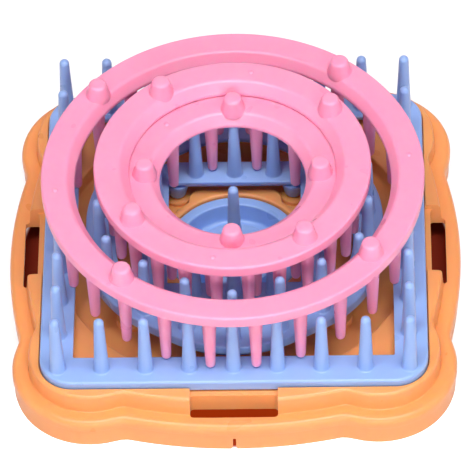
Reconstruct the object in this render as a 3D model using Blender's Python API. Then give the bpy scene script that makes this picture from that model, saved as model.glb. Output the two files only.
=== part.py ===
"""A nest of peg looms for hand knitting, stacked on a lobed storage tray.

Six loom frames, a dish with a centre post and the tray that carries them. The tray stands on
the ground at Z = 0, everything shares the vertical axis, and +Y points to the back.
"""

import math

import bmesh
import bpy
from mathutils import Matrix, Vector

MM = 0.001

# Fits shared by all pieces
REST_GAP = 0.3 * MM
SIDE_GAP = 0.3 * MM
OVERRUN = 1.0 * MM

# The section that every loom frame shares: a flat plate with a sloping inner wall
PLATE_THICKNESS = 4.4 * MM
PLATE_EDGE_ROUND = 0.8 * MM
INNER_LIP_HEIGHT = 1.2 * MM

# Pegs: round, tapered, domed at the tip
PEG_FOOT_DIAMETER = 4.9 * MM
PEG_TIP_DIAMETER = 3.2 * MM
PEG_FACES = 8
PEG_ROOT = 1.5 * MM
DOME_TURN = math.radians(48)

# Feet: short round knobs on the face away from the pegs
FOOT_ROOT_DIAMETER = 7.6 * MM
FOOT_END_DIAMETER = 6.0 * MM
FOOT_HEIGHT = 5.3 * MM
FOOT_EDGE_ROUND = 0.7 * MM
FOOT_FACES = 8

# Large square loom; its pegs stand round the hexagon
LARGE_SQUARE_SIDE_STEPS = 8
LARGE_SQUARE_HEXAGON_GAP = 7.6 * MM
LARGE_SQUARE_OUTER_MARGIN = 6.0 * MM
LARGE_SQUARE_INNER_MARGIN = 4.7 * MM
LARGE_SQUARE_CORNER = 10.8 * MM
LARGE_SQUARE_INNER_CORNER = 0.6 * MM
LARGE_SQUARE_SLOPE = 2.6 * MM
LARGE_SQUARE_PEG_HEIGHT = 24.0 * MM
LARGE_SQUARE_FOOT_STEPS = 2.5

# Small square loom; its pegs stand round the dish
SMALL_SQUARE_SIDE_STEPS = 4
SMALL_SQUARE_DISH_GAP = 3.1 * MM
SMALL_SQUARE_OUTER_MARGIN = 5.5 * MM
SMALL_SQUARE_INNER_MARGIN = 3.9 * MM
SMALL_SQUARE_CORNER = 12.0 * MM
SMALL_SQUARE_INNER_CORNER = 0.6 * MM
SMALL_SQUARE_SLOPE = 2.0 * MM
SMALL_SQUARE_PEG_HEIGHT = 24.0 * MM
SMALL_SQUARE_FOOT_STEPS = 1.5

# Hexagon loom, flat sides facing left and right
HEXAGON_SIDES = 6
HEXAGON_SMALL_SQUARE_GAP = 7.5 * MM
HEXAGON_WIDTH = 9.9 * MM
HEXAGON_CORNER_OFFSET = 10.8 * MM
HEXAGON_SLOPE = 2.4 * MM
HEXAGON_CORNER_PEG_MARGIN = 1.8 * MM
HEXAGON_SIDE_PEG_MARGIN = 4.4 * MM
HEXAGON_SIDE_PEG_TURN = math.radians(20)
HEXAGON_PEG_HEIGHT = 24.0 * MM
HEXAGON_FOOT_MARGIN = 4.4 * MM
HEXAGON_FOOT_ANGLE = math.radians(40)

# Ring looms, stored upside down
LARGE_RING_OUTER_MARGIN = 5.6 * MM
LARGE_RING_INNER_MARGIN = 5.1 * MM
LARGE_RING_SLOPE = 2.6 * MM
LARGE_RING_PEG_COUNT = 24
LARGE_RING_PEG_HEIGHT = 25.7 * MM
LARGE_RING_FOOT_ANGLE = math.radians(51.7)
LARGE_RING_FACES = 44

MEDIUM_RING_OVERLAP = 0.9 * MM
MEDIUM_RING_OUTER_MARGIN = 5.4 * MM
MEDIUM_RING_INNER_MARGIN = 5.8 * MM
MEDIUM_RING_SLOPE = 2.9 * MM
MEDIUM_RING_PEG_COUNT = 24
MEDIUM_RING_PEG_HEIGHT = 24.0 * MM
MEDIUM_RING_FOOT_ANGLE = math.radians(36.3)
MEDIUM_RING_FACES = 38

SMALL_RING_PEG_OFFSET = 2.7 * MM
SMALL_RING_OUTER_MARGIN = 6.0 * MM
SMALL_RING_INNER_MARGIN = 4.7 * MM
SMALL_RING_SLOPE = 2.9 * MM
SMALL_RING_PEG_COUNT = 12
SMALL_RING_PEG_HEIGHT = 24.0 * MM
SMALL_RING_FOOT_ANGLE = 0.0
SMALL_RING_FACES = 32

# Tray outline: a bulged square with a round lobe at each corner
TRAY_SIDE_RIM = 11.0 * MM
TRAY_LOBE_RIM = 6.65 * MM
TRAY_SIDE_BULGE_RADIUS = 145.0 * MM
TRAY_LOBE_RADIUS = 25.0 * MM
TRAY_NOTCH_BLEND = 2.0 * MM

# Tray heights and walls
TRAY_WALL_HEIGHT = 7.0 * MM
TRAY_WALL_THICKNESS = 2.0 * MM
TRAY_FLANGE_OVERHANG = 0.4 * MM
TRAY_FLANGE_EDGE_HEIGHT = 9.2 * MM
TRAY_FLANGE_INSET = 1.8 * MM
TRAY_FLANGE_HEIGHT = 11.0 * MM
TRAY_VALLEY_INSET = 4.8 * MM
TRAY_VALLEY_HEIGHT = 10.6 * MM
TRAY_RIDGE_SHARE = 0.88
TRAY_RIDGE_HEIGHT = 17.4 * MM
TRAY_RECESS_EDGE_HEIGHT = 17.7 * MM
TRAY_DECK_HEIGHT = 15.3 * MM
TRAY_SKIN = 2.0 * MM
TRAY_RIM_CORE_INSET = 11.4 * MM
TRAY_RIM_UNDERSIDE_HEIGHT = 8.7 * MM
TRAY_RIM_UNDERSIDE_INSET = 10.7 * MM
TRAY_DECK_WIDTH = 3.9 * MM
TRAY_WELL_DRAFT = 0.5 * MM
TRAY_FLOOR_HEIGHT = 10.0 * MM

# Points along an eighth of each tray outline: side, lobe, recess corner
TRAY_SIDE_STEPS = 3
TRAY_LOBE_STEPS = 3
TRAY_CORNER_STEPS = 3

# Finger slots in the tray's rim, one a side, and the small drain slit in its front wall
SLOT_LENGTH = 28.0 * MM
SLOT_STRIP_WIDTH = 1.7 * MM
SLOT_WIDTH = 5.0 * MM
SLOT_STRIP_HEIGHT = 15.6 * MM
SLOT_CORNER = 1.4 * MM
SLOT_CORNER_STEPS = 2
SLIT_WIDTH = 1.0 * MM
SLIT_FLARE_WIDTH = 3.0 * MM
SLIT_FLARE_HEIGHT = 1.6 * MM
SLIT_HEIGHT = 5.2 * MM

# Collar that holds the dish: two crossed round-ended bars over a disc
COLLAR_TOP_HEIGHT = 14.0 * MM
COLLAR_BAR_WALL = 3.1 * MM
COLLAR_DISC_WALL = 2.5 * MM
COLLAR_BAR_SHOULDER = 7.2 * MM
COLLAR_BAR_CORNER = 5.0 * MM
COLLAR_EDGE_ROUND = 0.7 * MM
COLLAR_LEDGE_WIDTH = 2.4 * MM

# Dish with its hub and centre post
DISH_RADIUS = 22.4 * MM
DISH_RIM_WIDTH = 3.5 * MM
DISH_RIM_HEIGHT = 13.2 * MM
DISH_RIM_THICKNESS = 1.9 * MM
DISH_WALL = 1.4 * MM
DISH_CHANNEL_WIDTH = 5.4 * MM
DISH_CHANNEL_HEIGHT = 6.0 * MM
DISH_CHANNEL_DRAFT = 0.6 * MM
DISH_FLOOR = 1.6 * MM
DISH_HUB_HEIGHT = 10.3 * MM
DISH_HUB_DRAFT = 0.5 * MM
DISH_FACES = 32
POST_TOP_HEIGHT = 43.0 * MM
POST_FOOT_DIAMETER = 5.4 * MM
POST_TIP_DIAMETER = 3.3 * MM
POST_FACES = 10

# Low pads on the well floor, under the feet of the hexagon and the small square
HEXAGON_PAD_HEIGHT = 2.4 * MM
SMALL_SQUARE_PAD_HEIGHT = 1.4 * MM
PAD_DIAMETER = 9.0 * MM
SUPPORT_FACES = 10
FOOT_HOLE_DIAMETER = 8.6 * MM

# Points round each corner of the square and hexagon frames
SQUARE_CORNER_STEPS = 4
HEXAGON_CORNER_STEPS = 4

# Plastic colours, as linear RGB
PINK = (1.0, 0.41, 0.60, 1.0)
BLUE = (0.38, 0.58, 0.95, 1.0)
ORANGE = (0.97, 0.45, 0.16, 1.0)

# Places that follow from the sizes above
COLLAR_BORE = DISH_RADIUS + SIDE_GAP
COLLAR_REACH = COLLAR_BORE + COLLAR_BAR_WALL
COLLAR_DISC_RADIUS = COLLAR_BORE + COLLAR_DISC_WALL
COLLAR_BAR_HALF_WIDTH = COLLAR_BORE - COLLAR_BAR_SHOULDER
DISH_MOUTH_RADIUS = DISH_RADIUS - DISH_RIM_WIDTH
DISH_HUB_RADIUS = DISH_MOUTH_RADIUS - DISH_CHANNEL_WIDTH

SMALL_SQUARE_PEG_LINE = DISH_RADIUS + SMALL_SQUARE_DISH_GAP
SMALL_SQUARE_PITCH = 2 * SMALL_SQUARE_PEG_LINE / SMALL_SQUARE_SIDE_STEPS
SMALL_SQUARE_HALF = SMALL_SQUARE_PEG_LINE + SMALL_SQUARE_OUTER_MARGIN
SMALL_SQUARE_OPENING = SMALL_SQUARE_PEG_LINE - SMALL_SQUARE_INNER_MARGIN
SMALL_RING_PEG_RADIUS = SMALL_SQUARE_PEG_LINE + SMALL_RING_PEG_OFFSET
SMALL_RING_OUTER_RADIUS = SMALL_RING_PEG_RADIUS + SMALL_RING_OUTER_MARGIN
SMALL_RING_HOLE_RADIUS = SMALL_RING_PEG_RADIUS - SMALL_RING_INNER_MARGIN
MEDIUM_RING_HOLE_RADIUS = SMALL_RING_OUTER_RADIUS - MEDIUM_RING_OVERLAP
MEDIUM_RING_PEG_RADIUS = MEDIUM_RING_HOLE_RADIUS + MEDIUM_RING_INNER_MARGIN
MEDIUM_RING_OUTER_RADIUS = MEDIUM_RING_PEG_RADIUS + MEDIUM_RING_OUTER_MARGIN

HEXAGON_INNER_APOTHEM = SMALL_SQUARE_HALF + HEXAGON_SMALL_SQUARE_GAP
HEXAGON_OUTER_APOTHEM = HEXAGON_INNER_APOTHEM + HEXAGON_WIDTH
HEXAGON_CORNER_PEG_RADIUS = HEXAGON_OUTER_APOTHEM - HEXAGON_CORNER_PEG_MARGIN
HEXAGON_SIDE_PEG_RADIUS = HEXAGON_OUTER_APOTHEM - HEXAGON_SIDE_PEG_MARGIN
HEXAGON_FOOT_RADIUS = HEXAGON_OUTER_APOTHEM - HEXAGON_FOOT_MARGIN

LARGE_SQUARE_PEG_LINE = HEXAGON_OUTER_APOTHEM + LARGE_SQUARE_HEXAGON_GAP
LARGE_SQUARE_PITCH = 2 * LARGE_SQUARE_PEG_LINE / LARGE_SQUARE_SIDE_STEPS
LARGE_SQUARE_HALF = LARGE_SQUARE_PEG_LINE + LARGE_SQUARE_OUTER_MARGIN
LARGE_SQUARE_OPENING = LARGE_SQUARE_PEG_LINE - LARGE_SQUARE_INNER_MARGIN
LARGE_RING_PEG_RADIUS = LARGE_SQUARE_PEG_LINE
LARGE_RING_OUTER_RADIUS = LARGE_RING_PEG_RADIUS + LARGE_RING_OUTER_MARGIN
LARGE_RING_HOLE_RADIUS = LARGE_RING_PEG_RADIUS - LARGE_RING_INNER_MARGIN

RECESS_HALF = LARGE_SQUARE_HALF + SIDE_GAP
RECESS_CORNER = LARGE_SQUARE_CORNER + SIDE_GAP
TRAY_HALF_WIDTH = RECESS_HALF + TRAY_SIDE_RIM
RECESS_CORNER_REACH = math.sqrt(2) * (RECESS_HALF - RECESS_CORNER) + RECESS_CORNER
TRAY_LOBE_CENTRE = (RECESS_CORNER_REACH + TRAY_LOBE_RIM - TRAY_LOBE_RADIUS) / math.sqrt(2)
TRAY_WELL_RADIUS = RECESS_HALF - TRAY_DECK_WIDTH
SLOT_INNER = RECESS_HALF + SLOT_STRIP_WIDTH
SLOT_OUTER = SLOT_INNER + SLOT_WIDTH
LEDGE_HEIGHT = DISH_RIM_HEIGHT - DISH_RIM_THICKNESS - REST_GAP
LEDGE_HOLE = COLLAR_BORE - COLLAR_LEDGE_WIDTH

LARGE_SQUARE_Z = TRAY_DECK_HEIGHT + REST_GAP
LARGE_RING_Z = LARGE_SQUARE_Z + PLATE_THICKNESS + REST_GAP + LARGE_RING_PEG_HEIGHT
HEXAGON_Z = TRAY_FLOOR_HEIGHT + HEXAGON_PAD_HEIGHT + REST_GAP + FOOT_HEIGHT
SMALL_SQUARE_Z = TRAY_FLOOR_HEIGHT + SMALL_SQUARE_PAD_HEIGHT + REST_GAP + FOOT_HEIGHT
SMALL_RING_Z = SMALL_SQUARE_Z + PLATE_THICKNESS + REST_GAP + SMALL_RING_PEG_HEIGHT
MEDIUM_RING_Z = SMALL_RING_Z + PLATE_THICKNESS + REST_GAP


def clear_scene():
    for item in list(bpy.data.objects):
        bpy.data.objects.remove(item, do_unlink=True)


def plastic(name, colour):
    material = bpy.data.materials.new(name)
    material.use_nodes = True
    shader = material.node_tree.nodes["Principled BSDF"]
    shader.inputs["Base Color"].default_value = colour
    shader.inputs["Roughness"].default_value = 0.32
    shader.inputs["Metallic"].default_value = 0.0
    material.diffuse_color = colour
    return material


def add_object(name, bm, material=None, height=0.0, upside_down=False, sharp=math.radians(30)):
    """Turn a bmesh into a named object on the vertical axis."""
    bmesh.ops.recalc_face_normals(bm, faces=bm.faces)
    mesh = bpy.data.meshes.new(name)
    bm.to_mesh(mesh)
    bm.free()
    mesh.shade_smooth()
    mesh.set_sharp_from_angle(angle=sharp)
    item = bpy.data.objects.new(name, mesh)
    bpy.context.scene.collection.objects.link(item)
    item.location = (0, 0, height)
    item.rotation_euler = (math.pi if upside_down else 0, 0, 0)
    if material is not None:
        mesh.materials.append(material)
    return item


def make_tool(item):
    item.hide_render = True
    item.display_type = "WIRE"
    return item


def boolean(item, tool, operation):
    modifier = item.modifiers.new(operation.title(), "BOOLEAN")
    modifier.operation = operation
    modifier.object = make_tool(tool)
    modifier.solver = "EXACT"


# Outlines. Each returns a function of how far the outline grows outwards.

def circle_outline(radius, faces):
    def points(grow):
        turns = [2 * math.pi * step / faces for step in range(faces)]
        return [polar(radius + grow, turn) for turn in turns]
    return points


def rounded_polygon_outline(sides, apothem, corner, steps, first_corner):
    """A regular polygon whose corners are arcs, starting at the angle of one corner."""
    half_turn = math.pi / sides

    def points(grow):
        centre = (apothem - corner) / math.cos(half_turn)
        outline = []
        for side in range(sides):
            corner_turn = first_corner + 2 * half_turn * side
            middle = polar(centre, corner_turn)
            for step in range(steps + 1):
                turn = corner_turn + half_turn * (2 * step / steps - 1)
                outline.append(middle + polar(corner + grow, turn))
        return outline
    return points


def polar(radius, turn):
    return Vector((radius * math.cos(turn), radius * math.sin(turn)))


def bridge_loops(bm, loops):
    """Skin a closed chain of outlines; each is (list of XY points, height)."""
    rings = [[bm.verts.new((*point, height)) for point in outline] for outline, height in loops]
    for ring, following in zip(rings, rings[1:] + rings[:1]):
        for index, corner in enumerate(ring):
            after = (index + 1) % len(ring)
            bm.faces.new((corner, ring[after], following[after], following[index]))


def turned_solid(bm, profile, faces, centre=(0.0, 0.0), direction=1):
    """Turn a profile of (radius, height) points about an upright axis; a radius of zero is an apex."""
    rings = []
    for radius, height in profile:
        steps = faces if radius > 0 else 1
        ring = []
        for step in range(steps):
            point = polar(radius, 2 * math.pi * step / faces)
            ring.append(bm.verts.new((centre[0] + point.x, centre[1] + point.y, direction * height)))
        rings.append(ring)
    for ring, following in zip(rings, rings[1:]):
        for index, corner in enumerate(ring):
            after = (index + 1) % faces
            if len(following) == 1:
                bm.faces.new((corner, ring[after], following[0]))
            else:
                bm.faces.new((corner, ring[after], following[after], following[index]))
    bm.faces.new(reversed(rings[0]))
    if len(rings[-1]) > 1:
        bm.faces.new(rings[-1])


def peg_profile(height, foot_diameter, tip_diameter):
    """Taper from the foot to a domed tip, with a root sunk in the plate."""
    tip = tip_diameter / 2
    shoulder = height - tip
    return [
        (foot_diameter / 2, -PEG_ROOT),
        (foot_diameter / 2, 0),
        (tip, shoulder),
        (tip * math.cos(DOME_TURN), shoulder + tip * math.sin(DOME_TURN)),
        (0, height),
    ]


def foot_profile():
    root = FOOT_ROOT_DIAMETER / 2
    end = FOOT_END_DIAMETER / 2
    return [
        (root, -PEG_ROOT),
        (root, 0),
        (end, FOOT_HEIGHT - FOOT_EDGE_ROUND),
        (end - FOOT_EDGE_ROUND, FOOT_HEIGHT),
    ]


def square_pegs(line, pitch, side_steps):
    """Places round a square, corner pegs included, each once."""
    places = []
    for step in range(side_steps):
        along = -line + step * pitch
        places += [(along, -line), (line, along), (-along, line), (-line, -along)]
    return places


def square_feet(line, along):
    return [(x * along, y * line) for x in (-1, 1) for y in (-1, 1)]


def ring_places(radius, count, first_turn):
    return [tuple(polar(radius, first_turn + 2 * math.pi * step / count)) for step in range(count)]


def hexagon_pegs():
    """A peg at each corner and one to each side of it."""
    places = []
    for corner in range(HEXAGON_SIDES):
        turn = math.pi / 2 + 2 * math.pi * corner / HEXAGON_SIDES
        places.append(tuple(polar(HEXAGON_CORNER_PEG_RADIUS, turn)))
        for side in (-1, 1):
            places.append(tuple(polar(HEXAGON_SIDE_PEG_RADIUS, turn + side * HEXAGON_SIDE_PEG_TURN)))
    return places


def hexagon_feet():
    mirrored = (HEXAGON_FOOT_ANGLE, math.pi - HEXAGON_FOOT_ANGLE)
    return [tuple(polar(HEXAGON_FOOT_RADIUS, sign * turn)) for turn in mirrored for sign in (-1, 1)]


def loom_frame(name, outer, inner, slope, pegs, peg_height, feet, height, upside_down, material):
    """One moulded loom: the plate, its pegs on one face and its feet on the other."""
    plate = bmesh.new()
    edge = PLATE_EDGE_ROUND
    bridge_loops(plate, [
        (outer(-edge), 0),
        (outer(0), edge),
        (outer(0), PLATE_THICKNESS - edge),
        (outer(-edge), PLATE_THICKNESS),
        (inner(0), PLATE_THICKNESS),
        (inner(0), PLATE_THICKNESS - INNER_LIP_HEIGHT),
        (inner(slope), 0),
    ])
    frame = add_object(name, plate, material, height, upside_down)

    stubs = bmesh.new()
    for x, y in pegs:
        turned_solid(stubs, peg_profile(peg_height, PEG_FOOT_DIAMETER, PEG_TIP_DIAMETER), PEG_FACES, (x, y))
    bmesh.ops.translate(stubs, verts=stubs.verts, vec=(0, 0, PLATE_THICKNESS))
    for x, y in feet:
        turned_solid(stubs, foot_profile(), FOOT_FACES, (x, y), direction=-1)
    tool = add_object(name + "_pegs_and_feet", stubs, material, height, upside_down)
    boolean(frame, tool, "UNION")
    return frame


def square_loom(name, line, pitch, count, half, corner, opening, inner_corner, slope, peg_height, foot_steps,
                height, material):
    outer = rounded_polygon_outline(4, half, corner, SQUARE_CORNER_STEPS, math.pi / 4)
    inner = rounded_polygon_outline(4, opening, inner_corner, SQUARE_CORNER_STEPS, math.pi / 4)
    pegs = square_pegs(line, pitch, count)
    feet = square_feet(line, foot_steps * pitch)
    return loom_frame(name, outer, inner, slope, pegs, peg_height, feet, height, False, material)


def ring_loom(name, radius, hole, slope, faces, peg_radius, peg_count, peg_height, foot_angle, height, material):
    """A ring loom lying on its pegs: built peg side up, then turned over about the X axis."""
    outer = circle_outline(radius, faces)
    inner = circle_outline(hole, faces)
    pegs = ring_places(peg_radius, peg_count, math.pi / peg_count)
    feet = ring_places(peg_radius, 4, -foot_angle)
    top = height + PLATE_THICKNESS
    return loom_frame(name, outer, inner, slope, pegs, peg_height, feet, top, True, material)


# Tray outlines, as radius against angle, all sampled at the same angles

def smooth_max(first, second, blend):
    overlap = max(blend - abs(first - second), 0) / blend
    return max(first, second) + overlap * overlap * blend / 4


def ray_to_circle(distance, radius, turn):
    """Far crossing of a ray from the origin with a circle whose centre lies on the zero angle."""
    reach = radius * radius - (distance * math.sin(turn)) ** 2
    if reach < 0:
        return 0.0
    return distance * math.cos(turn) + math.sqrt(reach)


def notch_turn():
    """Angle of the outline's notch, where the side's bulge meets the corner lobe."""
    bulge_centre = Vector((TRAY_HALF_WIDTH - TRAY_SIDE_BULGE_RADIUS, 0))
    lobe_centre = Vector((TRAY_LOBE_CENTRE, TRAY_LOBE_CENTRE))
    apart = lobe_centre - bulge_centre
    along = (TRAY_SIDE_BULGE_RADIUS ** 2 - TRAY_LOBE_RADIUS ** 2 + apart.length_squared) / (2 * apart.length)
    across = math.sqrt(TRAY_SIDE_BULGE_RADIUS ** 2 - along ** 2)
    direction = apart.normalized()
    notch = bulge_centre + along * direction + across * Vector((direction.y, -direction.x))
    return math.atan2(notch.y, notch.x)


def side_turn(turn):
    """The angle from the nearest of the four sides' middles, 0 to 45 degrees."""
    quarter = turn % (math.pi / 2)
    return min(quarter, math.pi / 2 - quarter)


def tray_turns():
    """Angles of the tray's outline points: closer together at the lobes and the recess corners."""
    notch = notch_turn()
    tangent = math.atan2(RECESS_HALF - RECESS_CORNER, RECESS_HALF)
    marks = [0.0]
    for start, end, steps in ((0.0, notch, TRAY_SIDE_STEPS), (notch, tangent, TRAY_LOBE_STEPS),
                              (tangent, math.pi / 4, TRAY_CORNER_STEPS)):
        marks += [start + (end - start) * (step + 1) / steps for step in range(steps)]
    quarter = marks + [math.pi / 2 - mark for mark in reversed(marks[1:-1])]
    return [mark + math.pi / 2 * side for side in range(4) for mark in quarter]


TRAY_TURNS = tray_turns()


def lobed_radius(turn, inset):
    near = side_turn(turn)
    bulge_centre = TRAY_HALF_WIDTH - TRAY_SIDE_BULGE_RADIUS
    bulge = ray_to_circle(bulge_centre, TRAY_SIDE_BULGE_RADIUS - inset, near)
    lobe_distance = TRAY_LOBE_CENTRE * math.sqrt(2)
    lobe = ray_to_circle(lobe_distance, TRAY_LOBE_RADIUS - inset, math.pi / 4 - near)
    return smooth_max(bulge, lobe, TRAY_NOTCH_BLEND)


def recess_radius(turn):
    near = side_turn(turn)
    flat = RECESS_HALF / math.cos(near)
    corner_centre = RECESS_HALF - RECESS_CORNER
    if flat * math.sin(near) <= corner_centre:
        return flat
    return ray_to_circle(corner_centre * math.sqrt(2), RECESS_CORNER, math.pi / 4 - near)


def bar_radius(turn, reach, half_width, corner):
    """Radius of a bar with rounded ends that lies along the zero angle."""
    if math.cos(turn) <= 0:
        return 0.0
    flat = reach / math.cos(turn)
    if flat * math.sin(turn) <= half_width - corner:
        return flat
    centre = Vector((reach - corner, half_width - corner))
    tilt = turn - math.atan2(centre.y, centre.x)
    side = half_width / math.sin(turn)
    if side * math.cos(turn) <= centre.x:
        return side
    return ray_to_circle(centre.length, corner, tilt)


def collar_radius(turn, inset):
    near = side_turn(turn)
    bars = [bar_radius(angle, COLLAR_REACH - inset, COLLAR_BAR_HALF_WIDTH - inset, COLLAR_BAR_CORNER)
            for angle in (near, math.pi / 2 - near)]
    return max(*bars, COLLAR_DISC_RADIUS - inset)


def tray_loop(radius_at, height):
    return [polar(radius_at(turn), turn) for turn in TRAY_TURNS], height


def ridge_radius(turn):
    recess = recess_radius(turn)
    return recess + TRAY_RIDGE_SHARE * (lobed_radius(turn, TRAY_VALLEY_INSET) - recess)


def base_tray(material):
    """A thin moulded shell, skinned from the ground up over the rim and back underneath."""
    def lobed(inset):
        return lambda turn: lobed_radius(turn, inset)

    def round_about(radius):
        return lambda turn: radius

    tray = bmesh.new()
    bridge_loops(tray, [
        tray_loop(lobed(0), 0),
        tray_loop(lobed(0), TRAY_WALL_HEIGHT),
        tray_loop(lobed(-TRAY_FLANGE_OVERHANG), TRAY_WALL_HEIGHT + TRAY_FLANGE_OVERHANG),
        tray_loop(lobed(-TRAY_FLANGE_OVERHANG), TRAY_FLANGE_EDGE_HEIGHT),
        tray_loop(lobed(TRAY_FLANGE_INSET), TRAY_FLANGE_HEIGHT),
        tray_loop(lobed(TRAY_VALLEY_INSET), TRAY_VALLEY_HEIGHT),
        tray_loop(ridge_radius, TRAY_RIDGE_HEIGHT),
        tray_loop(recess_radius, TRAY_RECESS_EDGE_HEIGHT),
        tray_loop(recess_radius, TRAY_DECK_HEIGHT),
        tray_loop(round_about(TRAY_WELL_RADIUS), TRAY_DECK_HEIGHT),
        tray_loop(round_about(TRAY_WELL_RADIUS - TRAY_WELL_DRAFT), TRAY_FLOOR_HEIGHT),
        tray_loop(lambda turn: collar_radius(turn, 0), TRAY_FLOOR_HEIGHT),
        tray_loop(lambda turn: collar_radius(turn, 0), COLLAR_TOP_HEIGHT - COLLAR_EDGE_ROUND),
        tray_loop(lambda turn: collar_radius(turn, COLLAR_EDGE_ROUND), COLLAR_TOP_HEIGHT),
        tray_loop(round_about(COLLAR_BORE), COLLAR_TOP_HEIGHT),
        tray_loop(round_about(COLLAR_BORE), LEDGE_HEIGHT),
        tray_loop(round_about(LEDGE_HOLE), LEDGE_HEIGHT),
        tray_loop(round_about(LEDGE_HOLE), TRAY_FLOOR_HEIGHT - TRAY_SKIN),
        tray_loop(round_about(TRAY_WELL_RADIUS + TRAY_SKIN - TRAY_WELL_DRAFT), TRAY_FLOOR_HEIGHT - TRAY_SKIN),
        tray_loop(round_about(TRAY_WELL_RADIUS + TRAY_SKIN), TRAY_DECK_HEIGHT - TRAY_SKIN),
        tray_loop(lobed(TRAY_RIM_CORE_INSET), TRAY_DECK_HEIGHT - TRAY_SKIN),
        tray_loop(lobed(TRAY_RIM_UNDERSIDE_INSET), TRAY_RIM_UNDERSIDE_HEIGHT),
        tray_loop(lobed(TRAY_WALL_THICKNESS), TRAY_RIM_UNDERSIDE_HEIGHT),
        tray_loop(lobed(TRAY_WALL_THICKNESS), 0),
    ])
    item = add_object("base_tray", tray, material)
    boolean(item, tray_pads(), "UNION")
    boolean(item, tray_cutters(), "DIFFERENCE")
    return item


def tray_pads():
    pads = bmesh.new()
    supports = [(place, HEXAGON_PAD_HEIGHT) for place in hexagon_feet()]
    small_feet = square_feet(SMALL_SQUARE_PEG_LINE, SMALL_SQUARE_FOOT_STEPS * SMALL_SQUARE_PITCH)
    supports += [(place, SMALL_SQUARE_PAD_HEIGHT) for place in small_feet]
    for place, height in supports:
        profile = [
            (PAD_DIAMETER / 2, TRAY_FLOOR_HEIGHT - TRAY_SKIN / 2),
            (PAD_DIAMETER / 2, TRAY_FLOOR_HEIGHT + height),
        ]
        turned_solid(pads, profile, SUPPORT_FACES, place)
    return add_object("tray_pads", pads)


def tray_cutters():
    """Finger slots with their lowered inner strip, holes for the square loom's feet, the front slit."""
    cutters = bmesh.new()
    half = SLOT_LENGTH / 2
    above = TRAY_RECESS_EDGE_HEIGHT + OVERRUN
    below = TRAY_RIM_UNDERSIDE_HEIGHT - TRAY_SKIN - OVERRUN
    inner_overrun = RECESS_HALF - OVERRUN
    for side in range(4):
        slot = bmesh.new()
        profile = [
            (SLOT_OUTER, above), (inner_overrun, above), (inner_overrun, SLOT_STRIP_HEIGHT),
            (SLOT_INNER, SLOT_STRIP_HEIGHT), (SLOT_INNER, below), (SLOT_OUTER, below),
        ]
        ends = [[slot.verts.new((x, -y, z)) for y, z in profile] for x in (-half, half)]
        slot.faces.new(ends[0])
        slot.faces.new(reversed(ends[1]))
        for index in range(len(profile)):
            after = (index + 1) % len(profile)
            slot.faces.new((ends[0][after], ends[0][index], ends[1][index], ends[1][after]))
        bevel_slot_ends(slot)
        bmesh.ops.rotate(slot, verts=slot.verts, cent=(0, 0, 0), matrix=Matrix.Rotation(math.pi / 2 * side, 3, "Z"))
        copy_into(cutters, slot)
    feet = square_feet(LARGE_SQUARE_PEG_LINE, LARGE_SQUARE_FOOT_STEPS * LARGE_SQUARE_PITCH)
    for place in feet:
        profile = [(FOOT_HOLE_DIAMETER / 2, below), (FOOT_HOLE_DIAMETER / 2, above)]
        turned_solid(cutters, profile, SUPPORT_FACES, place)
    front_slit(cutters)
    return add_object("tray_cutters", cutters)


def bevel_slot_ends(slot):
    """Round the slot's two outer upright corners."""
    uprights = [edge for edge in slot.edges
                if abs(edge.verts[0].co.x - edge.verts[1].co.x) < OVERRUN
                and abs(edge.verts[0].co.y - edge.verts[1].co.y) < OVERRUN
                and abs(abs(edge.verts[0].co.y) - SLOT_OUTER) < OVERRUN]
    bmesh.ops.bevel(slot, geom=uprights, offset=SLOT_CORNER, segments=SLOT_CORNER_STEPS, profile=0.5,
                    affect="EDGES")


def copy_into(target, source):
    twins = {vertex: target.verts.new(vertex.co) for vertex in source.verts}
    for face in source.faces:
        target.faces.new([twins[vertex] for vertex in face.verts])
    source.free()


def front_slit(cutters):
    """A narrow slit at the middle of the front wall, flared where it meets the ground."""
    near = -TRAY_HALF_WIDTH - OVERRUN
    far = -TRAY_HALF_WIDTH + TRAY_WALL_THICKNESS + OVERRUN
    half_slit = SLIT_WIDTH / 2
    half_flare = SLIT_FLARE_WIDTH / 2
    outline = [
        (-half_flare, -OVERRUN), (half_flare, -OVERRUN), (half_flare, 0), (half_slit, SLIT_FLARE_HEIGHT),
        (half_slit, SLIT_HEIGHT), (-half_slit, SLIT_HEIGHT), (-half_slit, SLIT_FLARE_HEIGHT), (-half_flare, 0),
    ]
    ends = [[cutters.verts.new((x, y, z)) for x, z in outline] for y in (near, far)]
    cutters.faces.new(ends[0])
    cutters.faces.new(reversed(ends[1]))
    for index in range(len(outline)):
        after = (index + 1) % len(outline)
        cutters.faces.new((ends[0][after], ends[0][index], ends[1][index], ends[1][after]))


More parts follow.
